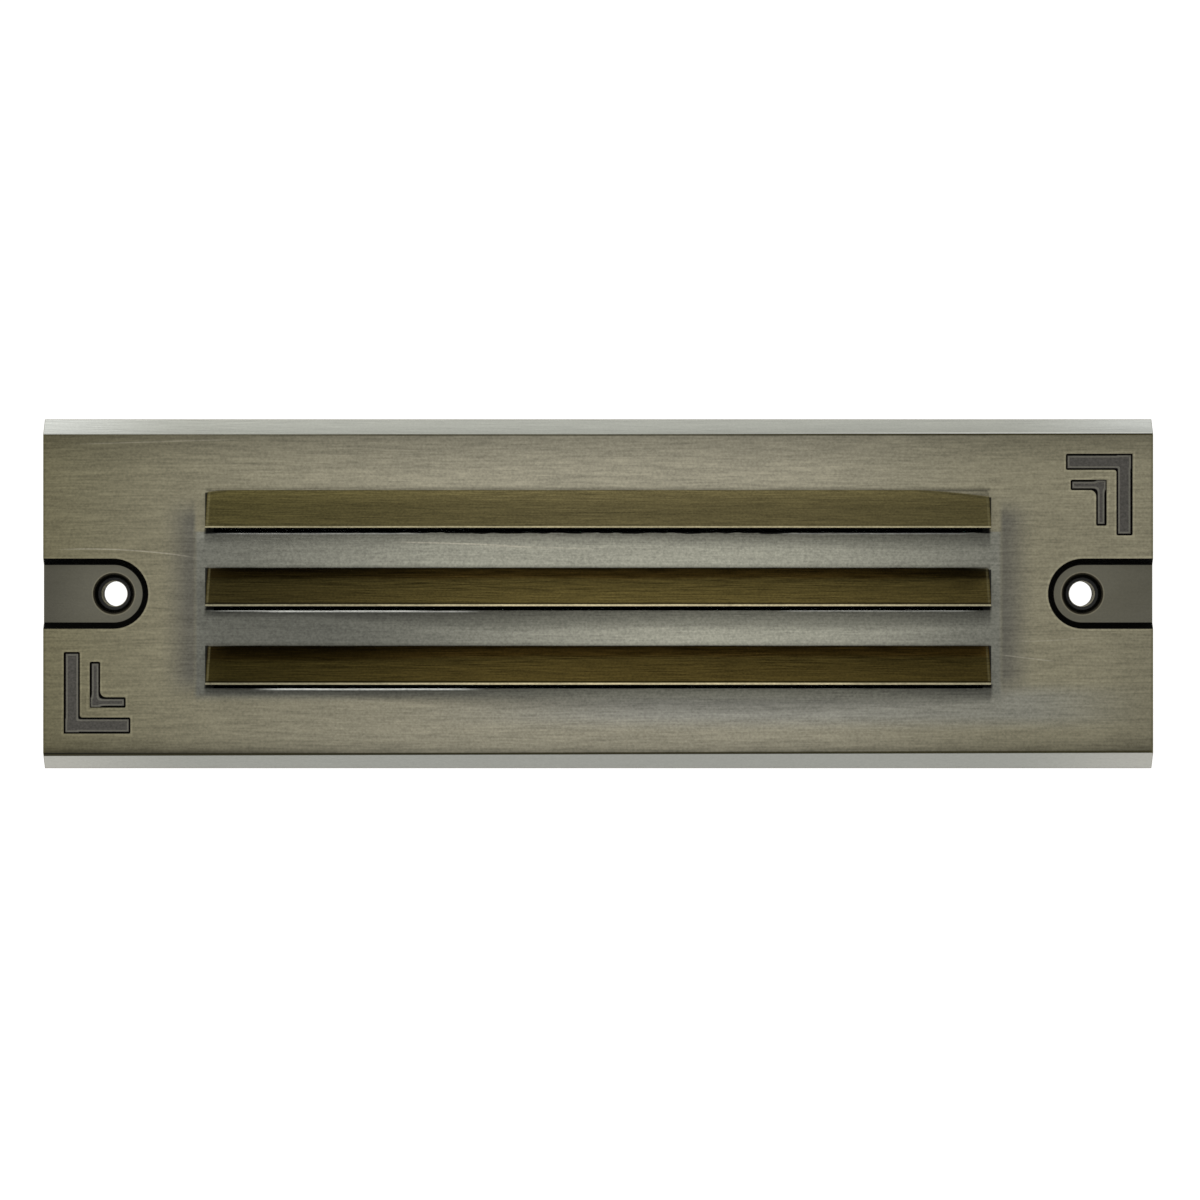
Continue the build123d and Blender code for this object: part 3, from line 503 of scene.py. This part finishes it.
# Painted shade at the root of each lower hood, under the one above.
painted_shade_under_hood = brass.rise(slope_up + ragged * 0.12, 0.72 - aside * bottom_row * 0.1, 0.14)
reddish = brass.mix(streaks, seen(60, 44, 14), seen(74, 58, 26))
shaded_under_tone = brass.mix(aside, reddish, seen(30, 22, 6))
shaded_lower_hood = brass.mix(painted_shade_under_hood * 0.85, shaded_lower_hood, shaded_under_tone)
hood = brass.mix(top_row, shaded_lower_hood, lit_upper_hood)
hood = brass.tint(hood, 1 - brass.rise(up_row, 7.5, 0.3) * 0.35)
# A painted highlight along the inner edge of each hood's end.
hood_end_highlight = brass.between(ax, hood_end - 1.1, hood_end - 0.7, 0.14)
hood_end_highlight = hood_end_highlight * brass.between(up_row, 0.3, hood_height - 0.2, 0.3)
hood = brass.mix(hood_end_highlight * 0.32, hood, seen(112, 106, 76))
print("hoods:", len(brass.tree.nodes), "nodes")

# %% [markdown]
# Each hood has a lip painted bright, a painted highlight, with a dark hairline over it, and shows
# the face's own tone above the line where its root sags.

# %% Lips and sagging roots
# The lips are painted bright, a painted highlight strongest near the middle.
lip_highlight_spread = brass.fall(abs(x - 8.0), 50.0, 80.0)
lip_highlight = brass.mix(lip_highlight_spread, seen(138, 133, 110), seen(196, 184, 148))
lip_highlight = brass.mix(top_row * 0.75, lip_highlight, seen(158, 150, 120))
lip = brass.fall(up_row, 0.44 - top_row * 0.05, 0.1) * brass.rise(up_row, 0.05, 0.08)
over_lip = brass.between(up_row, 0.5, 0.78, 0.1)
hood = brass.mix(over_lip * (0.8 - top_row * 0.62), hood, seen(10, 9, 5))
hood = brass.mix(lip, hood, lip_highlight)
hood = brass.mix(brass.fall(up_row, 0.06, 0.06), hood, seen(20, 19, 13))
above_sag = brass.rise(up_row, hood_height - sag, 0.34) * brass.rise(sag, 0.04, 0.08)
hood = brass.mix(above_sag, hood, brass.tint(face, 0.7))
sag_line = brass.between(up_row, hood_height - 0.5 - sag, hood_height - 0.1 - sag, 0.3)
hood = brass.mix(sag_line * brass.rise(sag, 0.1, 0.1) * 0.4, hood, seen(44, 42, 28))
print("lips:", len(brass.tree.nodes), "nodes")

# %% [markdown]
# The recesses are dark, with a mottled floor; their black walls and the black cone of each
# countersink are patina and painted shade together. A painted highlight runs as a thin rim round
# their edges and round each countersink, a little lighter than the face.

# %% Recesses
pocket_floor = brass.mix(mottle, seen(80, 78, 67, 1.0), seen(95, 93, 83, 1.0))
left_shade, right_shade = brass.fall(x, -106.0, 12.0) * 0.34, brass.rise(x, 106.0, 12.0) * 0.14
pocket_floor = brass.tint(pocket_floor, 1 - left_shade - right_shade)
# Black pocket walls: patina and painted shade together.
pocket = brass.mix(brass.rise(pocket_line, -1.3, 0.12), pocket_floor, seen(5, 5, 4))
sink_lip = brass.rise(from_hole, sink_radius - 0.25, 0.5)
# The countersink's cone is black, patina and painted shade together.
sink = brass.mix(sink_lip, seen(8, 8, 6), seen(66, 62, 51, 1.0))
pocket = brass.mix(brass.fall(from_hole, sink_radius, 0.06), pocket, sink)
# A painted highlight round the countersink's rim.
sink_rim_highlight = brass.between(from_hole, sink_radius - 0.05, sink_radius + 0.2, 0.1)
pocket = brass.mix(sink_rim_highlight * 0.45, pocket, seen(118, 113, 96, 1.0))
mark_floor = brass.mix(stipple, seen(50, 50, 46, 1.0), seen(82, 79, 75, 1.0))
floor_rim = brass.between(mark_line, -0.75, -0.45, 0.12)
mark = brass.mix(floor_rim * 0.5, mark_floor, seen(112, 110, 100, 1.0))
# Black walls of the marks: patina and painted shade together.
mark = brass.mix(brass.rise(mark_line, -0.38, 0.1), mark, seen(8, 8, 7))
in_pocket = brass.fall(pocket_line, 0.6, 0.02)
recess = brass.mix(in_pocket, mark, pocket)

# A painted highlight round the outer edges of the pockets and marks.
rim_highlight = brass.between(pocket_line.least(mark_line), 0.05, 0.4, 0.16)
face = brass.tint(face, 1 + rim_highlight * (1 - in_patch) * 0.22)
print("recesses:", len(brass.tree.nodes), "nodes")

# %% [markdown]
# The bevels are nearly bare metal, lighter towards the ends. The upper one is painted a little
# lighter than the lower, as painted light from above, and carries a painted glint towards the
# right end. A dark line parts each of them from the face, which darkens a little on its way there.

# %% Bevels
bevel_glow = brass.rise(ax, 96.0, 34.0)
# The upper bevel is painted lighter than the lower one, painted light from above.
lit_upper_bevel = brass.mix(bevel_glow, seen(171, 172, 163), seen(200, 202, 196))
shaded_lower_bevel = brass.mix(bevel_glow, seen(164, 165, 158), seen(184, 183, 175))
under_glint = brass.rise(x, 96.0, 20.0) * brass.fall(z, 33.4, 1.4)
toward_edge = brass.rise(z, 33.0, 2.4)
lit_upper_bevel = brass.tint(lit_upper_bevel, 0.88 + toward_edge * 0.13 - under_glint * 0.07)
# A painted glint on the upper bevel, towards the right end.
glint = brass.between(z, bevel_edge + 0.02, bevel_edge + 0.32, 0.1)
glint = glint * brass.rise(x, 55.0, 60.0) * 0.6
lit_upper_bevel = brass.mix(glint, lit_upper_bevel, seen(208, 208, 200))
bevel_tone = brass.mix(upper_half, shaded_lower_bevel, lit_upper_bevel)
line_start = bevel_edge - 0.42 + upper_half * 0.08
bevel_line = brass.between(az, line_start, bevel_edge + 0.04, 0.16)
faintness = brass.fall(x, 30.0, 40.0) * 0.3 + far_left * 0.45
bevel_line = bevel_line * (1 - upper_half * faintness)
toward_bevel = (1 - (bevel_edge - az) / 1.6).clamped() * on_face
toward_bevel = toward_bevel * (0.36 - upper_half * 0.24 + far_left * (1 - upper_half) * 0.45)
print("bevels:", len(brass.tree.nodes), "nodes")

# %% [markdown]
# Now the regions join into one metal, each by its own mask.

# %% One metal
metal = brass.mix(proud, face, hood)
metal = brass.mix(sunk, metal, recess)
metal = brass.tint(metal, 1 - toward_bevel)
metal = brass.mix(bevel, metal, bevel_tone)
metal = brass.mix(bevel_line * 0.9 * (1 - behind), metal, seen(52, 49, 30))
end_edge = brass.rise(ax, plate_end - 0.4, 0.5) * on_face
metal = brass.mix(end_edge * 0.5, metal, seen(84, 80, 50))
print("joined:", len(brass.tree.nodes), "nodes")

# %% [markdown]
# A few long bright streaks cross the brushing, painted highlights each along a shallow arc. The
# cored back is left as it came from the mould, a yellower sandy skin, and the plate's outer walls
# are a darker bronze. Last of all, the brushing makes the whole colour lighter and darker.

# %% Painted highlight streaks, brushing and the back
# Painted highlight streaks, each along a shallow arc.
painted_streaks = [  # middle, half length, height, slope, curve, strength
    (-94.0, 15.0, 8.7, -0.06, -0.0036, 0.3),
    (-27.0, 15.0, 10.0, -0.035, -0.001, 0.6),
    (-12.0, 12.0, 9.3, -0.02, -0.001, 0.3),
    (86.0, 6.0, -12.9, -0.12, 0.0, 0.22),
    (90.0, 7.0, -9.4, 0.05, 0.006, 0.14),
    (-88.0, 18.0, 30.4, 0.03, 0.0, 0.14),
]
painted_streak_sum = None
for middle, half_length, height, slope, curve, strength in painted_streaks:
    off = x - middle
    path = off * slope + off * off * curve + height
    painted_streak = brass.fall(abs(z - path), 0.12, 0.2)
    painted_streak = painted_streak * brass.fall(abs(off), half_length * 0.8, half_length * 0.4) * strength
    painted_streak_sum = painted_streak if painted_streak_sum is None else painted_streak_sum + painted_streak
metal = brass.mix(painted_streak_sum * on_face, metal, seen(196, 190, 172))
metal = brass.mix(behind, metal, tone(112, 99, 68))
wall_tone = brass.mix(bands, seen(92, 86, 62), seen(126, 120, 95))
not_rim = brass.fall(y, -0.1, 0.08)  # the rim that lies on the wall stays as cast
metal = brass.mix(outer_wall * not_rim, metal, wall_tone)
streak_depth = 0.38 - in_patch * 0.06 - bevel * 0.02 + proud * 0.1 - sunk * 0.26
metal = brass.tint(metal, 1 + grain * streak_depth)
print("colours:", len(brass.tree.nodes), "nodes")

# %% [markdown]
# A brushed metal needs its shine broken as well as its colour. The same noise feeds the
# roughness and a shallow bump, and the cored back, which nobody brushes, gets the sandy skin
# of the mould instead.

# %% Shine and relief
sand = brass.noise((900, 900, 900), detail=5)
relief = brush * (1 - behind) * 0.5 + sand * (behind + sunk * 0.25) + stipple * in_patch * 0.12
in_hole = brass.fall(from_hole, 3.2, 0.2)
rough = 0.42 + brush * 0.16 + sunk * 0.12 + behind * 0.15 - bevel * 0.04 + in_hole * 0.4
brass.feed(
    Base_Color=metal, Roughness=rough, Metallic=1 - in_hole, Normal=brass.bump(relief, 0.00005)
)
wear(brass, "faceplate")
print("antique brass:", len(brass.tree.nodes), "nodes")

# %% [markdown]
# ## Hidden and rear finishes
# From the back, the housing is a die casting with a dark powder coat. Its fixings are stainless
# and the gland is nickelled brass. The inner pieces show only when the light is taken apart, but
# they are finished too. Two recipes cover most of them: a worked metal, which is told how its
# grain runs, and a moulding, which is told how fine its skin is.


# %% Recipes for common materials
def worked_metal(name, colour, roughness, grain, depth=0.00002, variation=0.25):
    """A machined, drawn or plated metal, with a grain one way and light handling marks."""
    finish = Finish(name, Metallic=1.0)
    lines = finish.noise(grain, detail=3) - 0.5
    marks = finish.rise(finish.noise((210, 210, 210), detail=5, shift=(0.5, 0.3, 0.1)), 0.6, 0.16)
    shade = 1 + lines * variation - marks * 0.12
    handled = (*(0.9 * part for part in colour[:3]), 1.0)
    finish.feed(
        Base_Color=finish.tint(finish.mix(marks, colour, handled), shade),
        Roughness=roughness + lines * 0.2 + marks * 0.1,
        Normal=finish.bump(lines, depth),
    )
    return finish


def moulded(name, colour, roughness, grit, depth=0.00001, **constants):
    """A moulded plastic, ceramic or rubber with a fine skin and a slight cloudiness."""
    finish = Finish(name, **constants)
    cloud = finish.noise((120, 120, 120), detail=3) - 0.5
    skin = finish.noise((grit, grit, grit), detail=2, shift=(0.2, 0.6, 0.4)) - 0.5
    finish.feed(
        Base_Color=finish.tint(colour, 1 + cloud * 0.16 + skin * 0.1),
        Roughness=roughness + skin * 0.15 + cloud * 0.08,
        Normal=finish.bump(skin, depth),
    )
    return finish


print("recipes ready")

# %% [markdown]
# ## The housing's coat
# Powder coat on a casting is a thick satin skin with a shallow orange peel. Handling has left
# the rear wall a little lighter and duller, in patches.

# %% Powder coat
coat = Finish("painted_housing", Coat_Roughness=0.3)
depth = coat.millimetres()[1]
peel = coat.noise((620, 620, 620), detail=2)
fine_peel = coat.noise((1900, 1900, 1900), detail=2, shift=(0.4, 0.4, 0.1))
smudge = coat.noise((38, 38, 38), detail=4, shift=(0.1, 0.8, 0.2))
rubbed = coat.rise(depth, 61.0, 3.0) * 0.5 * coat.rise(smudge, 0.5, 0.3)
paint = coat.mix(rubbed, (0.030, 0.025, 0.020, 1), (0.060, 0.051, 0.042, 1))
coat.feed(
    Base_Color=coat.tint(paint, 0.9 + smudge * 0.3 + fine_peel * 0.12),
    Roughness=0.36 + smudge * 0.16 + rubbed * 0.1,
    Normal=coat.bump(peel + fine_peel * 0.3, 0.00005, 0.6),
    Coat_Weight=0.25 - rubbed * 0.2,
)
wear(coat, "housing")
print("powder coat:", len(coat.tree.nodes), "nodes")

# %% [markdown]
# ## Fixings, gland and fittings
# Each call below names a real finish and the pieces that wear it.

# %% Metals
along_x = (60, 1500, 1500)
along_y = (1500, 60, 1500)
all_ways = (700, 700, 700)
stainless = worked_metal("stainless_screw", tone(182, 182, 176), 0.3, along_y)
spring = worked_metal("spring_steel", tone(158, 158, 156), 0.36, all_ways)
bright = worked_metal("bright_aluminium", tone(228, 229, 232), 0.16, along_x, 0.00001, 0.1)
plated = worked_metal("plated_steel", tone(205, 202, 188), 0.34, all_ways)
rivet_metal = worked_metal("rivet_aluminium", tone(206, 208, 210), 0.36, all_ways)
contact = worked_metal("contact_brass", tone(214, 180, 104), 0.28, along_x)
pin = worked_metal("pin_metal", tone(214, 214, 214), 0.2, along_x)
nickel = worked_metal("nickelled_brass", tone(184, 180, 166), 0.26, (90, 2200, 90), 0.000012, 0.16)
wear(stainless, "housing_screws", "tray_screws", "holder_screws", "terminal_fixing_screw")
wear(spring, "housing_washers")
wear(bright, "reflector_tray")
wear(plated, "lamp_bracket_left", "lamp_bracket_right", "terminal_clamp_screws")
wear(rivet_metal, "bracket_rivets")
wear(contact, "holder_contacts_left", "holder_contacts_right", "terminal_barrels")
wear(pin, "lamp_pins_left", "lamp_pins_right")
wear(nickel, "gland_body", "gland_locknut", "gland_cap_nut")
print("8 metals")

# %% [markdown]
# Mouldings differ from metals in their skin: a fine even grit, with no direction to it.

# %% Plastics, ceramic and rubber
ceramic = moulded("holder_ceramic", tone(232, 227, 214), 0.62, 900)
lamp_plastic = moulded("lamp_plastic", tone(234, 234, 230), 0.28, 1500)
board = moulded("led_board", tone(226, 228, 222), 0.5, 1800)
phosphor = moulded("led_phosphor", tone(238, 206, 92), 0.3, 2400)
terminal_plastic = moulded("terminal_plastic", tone(226, 224, 212), 0.42, 1300)
red_cover = moulded("red_insulation", tone(176, 30, 26), 0.42, 1600)
black_cover = moulded("black_insulation", tone(30, 30, 31), 0.42, 1600)
black_rubber = moulded("grommet_rubber", tone(34, 34, 34), 0.72, 1400, 0.00003)
silicone = moulded(
    "silicone_seal", tone(204, 204, 200), 0.55, 1100, 0.00002, Subsurface_Weight=0.1
)
wear(ceramic, "lamp_holder_left", "lamp_holder_right")
wear(lamp_plastic, "lamp_base_left", "lamp_base_right")
wear(board, "led_column_left", "led_column_right")
wear(phosphor, "led_chips_left", "led_chips_right")
wear(terminal_plastic, "terminal_block")
wear(red_cover, "supply_lead_left", "supply_lead_right")
wear(black_cover, "return_lead_left", "return_lead_right")
wear(black_rubber, "lead_grommet_left", "lead_grommet_right", "gland_sealing_insert")
wear(silicone, "lens_gasket", "gland_seal_washer")
print("9 mouldings")

# %% [markdown]
# ## Glass
# The lens is frosted on its inner face, so light passes but no shape does. The lamps' envelopes
# are clear and thin.

# %% Frosted and clear glass
frosted = Finish("frosted_lens", Transmission_Weight=0.9, IOR=1.5)
frost = frosted.noise((1500, 1500, 1500), detail=3)
frosted.feed(
    Base_Color=frosted.mix(frost, tone(206, 216, 214), tone(228, 234, 232)),
    Roughness=0.42 + frost * 0.16,
    Normal=frosted.bump(frost, 0.00002),
)
clear = Finish("lamp_glass", Transmission_Weight=1.0, IOR=1.48)
wave = clear.noise((120, 120, 120), detail=2)
clear.feed(
    Base_Color=clear.mix(wave, tone(240, 244, 243), tone(250, 252, 251)),
    Roughness=0.03 + wave * 0.04,
    Normal=clear.bump(wave, 0.00002),
)
wear(frosted, "lens")
wear(clear, "lamp_envelope_left", "lamp_envelope_right")
print("frosted and clear glass")

# %% [markdown]
# ## Fastenings at the back
# Four cap screws hold the housing, each on a spring washer. The solids are plain, so finer ones
# stand for them: the heads get a straight knurl and a key socket with a chamfered mouth, and the
# washers get their slit and rounded section. A screw is one ring of points, drawn out along its
# axis and widened or narrowed on the way, as a lathe would cut it. Each piece is made once, on the
# Z axis, and copied to the four places.


# %% Turning on a ring
def draw_out(mesh, ring, radius, height):
    """Extrude a ring of edges to another radius and height, and give the new ring."""
    made = bmesh.ops.extrude_edge_only(mesh, edges=ring)["geom"]
    points = [part for part in made if isinstance(part, bmesh.types.BMVert)]
    old = points[0].co
    across = radius / math.hypot(old.x, old.y)
    bmesh.ops.translate(mesh, verts=points, vec=(0, 0, height - old.z))
    bmesh.ops.scale(mesh, verts=points, vec=(across, across, 1))
    return [part for part in made if isinstance(part, bmesh.types.BMEdge)]


def new_piece(mesh, name, node, finish):
    """Put a finished mesh in the frame, to stand for a CAD node."""
    bmesh.ops.recalc_face_normals(mesh, faces=mesh.faces)
    open_edges = sum(len(edge.link_faces) != 2 for edge in mesh.edges)
    data = bpy.data.meshes.new(name)
    mesh.to_mesh(data)
    mesh.free()
    data.shade_smooth()
    data.set_sharp_from_angle(angle=math.radians(32))
    data.materials.append(finish.material)
    piece = bpy.data.objects.new(name, data)
    bpy.context.collection.objects.link(piece)
    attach(piece, "root")
    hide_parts(node)
    print(name, len(data.polygons), "faces,", open_edges, "open edges")


def at_each_fixing(mesh):
    """Stand a piece made on Z at each of the four screw places, pointing back."""
    geometry = mesh.verts[:] + mesh.edges[:] + mesh.faces[:]
    bmesh.ops.rotate(mesh, verts=mesh.verts, matrix=Matrix.Rotation(math.radians(-90), 3, "X"))
    first_place, *other_places = fixing_places
    for place in other_places:
        copy = bmesh.ops.duplicate(mesh, geom=geometry)["geom"]
        points = [part for part in copy if isinstance(part, bmesh.types.BMVert)]
        bmesh.ops.translate(mesh, verts=points, vec=place)
    first = [part for part in geometry if isinstance(part, bmesh.types.BMVert)]
    bmesh.ops.translate(mesh, verts=first, vec=first_place)


head_radius = 3.5 * MM
low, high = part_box("housing_screws")
fixing_x, fixing_z = high[0] - head_radius, high[2] - head_radius
fixing_places = [(x, 0, z) for x in (-fixing_x, fixing_x) for z in (-fixing_z, fixing_z)]
print("screws at", [(round(x / MM, 2), round(z / MM, 2)) for x, _, z in fixing_places])

# %% [markdown]
# The screw is drawn out from its tip. Its thread is a row of crests and roots, near enough to a
# thread at this size. The knurl comes from every second point of the head's ring, moved inwards.

# %% Cap screws
ring_points = 72
tip_y, top_y = low[1], high[1]
crest, root, thread_pitch, turns = 1.94, 1.64, 0.7, 9
under_head = ((crest, -0.9), (crest, -0.2), (2.1, 0.0), (3.3, 0.0), (3.5, 0.2), (3.5, 0.35))
over_knurl = ((3.5, 3.4), (3.42, 3.7), (3.15, 4.0), (1.85, 4.0))
groove_share = 0.935  # a groove's radius, as a share of the head's

screw = bmesh.new()
bmesh.ops.create_circle(screw, cap_ends=True, segments=ring_points, radius=1.5 * MM)
bmesh.ops.translate(screw, verts=screw.verts, vec=(0, 0, tip_y))
ring = draw_out(screw, screw.edges[:], crest * MM, tip_y + 0.4 * MM)
for turn in range(turns):
    ring = draw_out(screw, ring, crest * MM, tip_y + (0.55 + thread_pitch * turn) * MM)
    ring = draw_out(screw, ring, root * MM, tip_y + (0.85 + thread_pitch * turn) * MM)
seat = top_y - 4.0 * MM  # the plane under the head
for radius, height in under_head:
    ring = draw_out(screw, ring, radius * MM, seat + height * MM)
knurl_rings = [draw_out(screw, ring, head_radius, seat + 0.55 * MM)]
knurl_rings.append(draw_out(screw, knurl_rings[0], head_radius, seat + 3.2 * MM))
ring = knurl_rings[1]
for radius, height in over_knurl:
    ring = draw_out(screw, ring, radius * MM, seat + height * MM)

knurled = {point for edges in knurl_rings for edge in edges for point in edge.verts}
step = math.tau / ring_points
grooves = [p for p in knurled if round(math.atan2(p.co.y, p.co.x) / step) % 2]
bmesh.ops.scale(screw, verts=grooves, vec=(groove_share, groove_share, 1))
print("screw", len(screw.faces), "faces,", len(grooves) // 2, "grooves")

# %% [markdown]
# The key's hexagon is cut into as many edges as the ring has, so that a bridge of plain faces
# joins the two and makes the chamfered mouth. The walls go straight down from there, and the
# floor is the cone that a drill leaves.

# %% Key sockets
key_half_width = 1.5 * MM
mouth_depth, wall_depth, cone_depth = 0.22 * MM, 1.78 * MM, 0.5 * MM

corner_radius = key_half_width / math.cos(math.radians(30))
key = bmesh.ops.create_circle(screw, segments=6, radius=corner_radius)
key_height = top_y - mouth_depth
bmesh.ops.translate(screw, verts=key["verts"], vec=(0, 0, key_height))
key_edges = list({edge for point in key["verts"] for edge in point.link_edges})
bmesh.ops.subdivide_edges(screw, edges=key_edges, cuts=ring_points // 6 - 1)
at_mouth = {point for point in screw.verts if abs(point.co.z - key_height) < 0.001 * MM}
key_ring = [edge for edge in screw.edges if at_mouth.issuperset(edge.verts)]
bmesh.ops.bridge_loops(screw, edges=ring + key_ring)
made = bmesh.ops.extrude_edge_only(screw, edges=key_ring)["geom"]
walls = [part for part in made if isinstance(part, bmesh.types.BMVert)]
bmesh.ops.translate(screw, verts=walls, vec=(0, 0, -wall_depth))
floor_ring = [part for part in made if isinstance(part, bmesh.types.BMEdge)]
cone = bmesh.ops.extrude_edge_only(screw, edges=floor_ring)["geom"]
tip = [part for part in cone if isinstance(part, bmesh.types.BMVert)]
bmesh.ops.scale(screw, verts=tip, vec=(0.08, 0.08, 1))
bmesh.ops.translate(screw, verts=tip, vec=(0, 0, -cone_depth))
tip_edges = [part for part in cone if isinstance(part, bmesh.types.BMEdge)]
bmesh.ops.contextual_create(screw, geom=tip_edges)
at_each_fixing(screw)
new_piece(screw, "cap_screws", "housing_screws", stainless)

# %% [markdown]
# A spring washer is a rounded section, spun round its axis and stopped short to leave its slit.

# %% Spring washers
washer_radius = 3.6 * MM
section_width, corner = 1.3 * MM, 0.16 * MM
slit = math.radians(16)

washer_low, washer_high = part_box("housing_washers")
thick = washer_high[1] - washer_low[1]
washer = bmesh.new()
bmesh.ops.create_grid(washer, x_segments=1, y_segments=1, size=0.5)
bmesh.ops.scale(washer, verts=washer.verts, vec=(section_width, thick - 0.04 * MM, 1))
bmesh.ops.rotate(washer, verts=washer.verts, matrix=Matrix.Rotation(math.radians(90), 3, "X"))
rounding = {"segments": 2, "profile": 0.5, "affect": "VERTICES", "material": -1}
bmesh.ops.bevel(washer, geom=washer.verts[:], offset=corner, **rounding)
section_place = (washer_radius - 0.66 * MM, 0, washer_low[1] + thick / 2)
bmesh.ops.translate(washer, verts=washer.verts, vec=section_place)
bmesh.ops.rotate(washer, verts=washer.verts, matrix=Matrix.Rotation(slit / 2, 3, "Z"))
section = washer.verts[:] + washer.edges[:] + washer.faces[:]
bmesh.ops.spin(washer, geom=section, axis=(0, 0, 1), angle=math.tau - slit, steps=48)
at_each_fixing(washer)
new_piece(washer, "spring_washers", "housing_washers", spring)
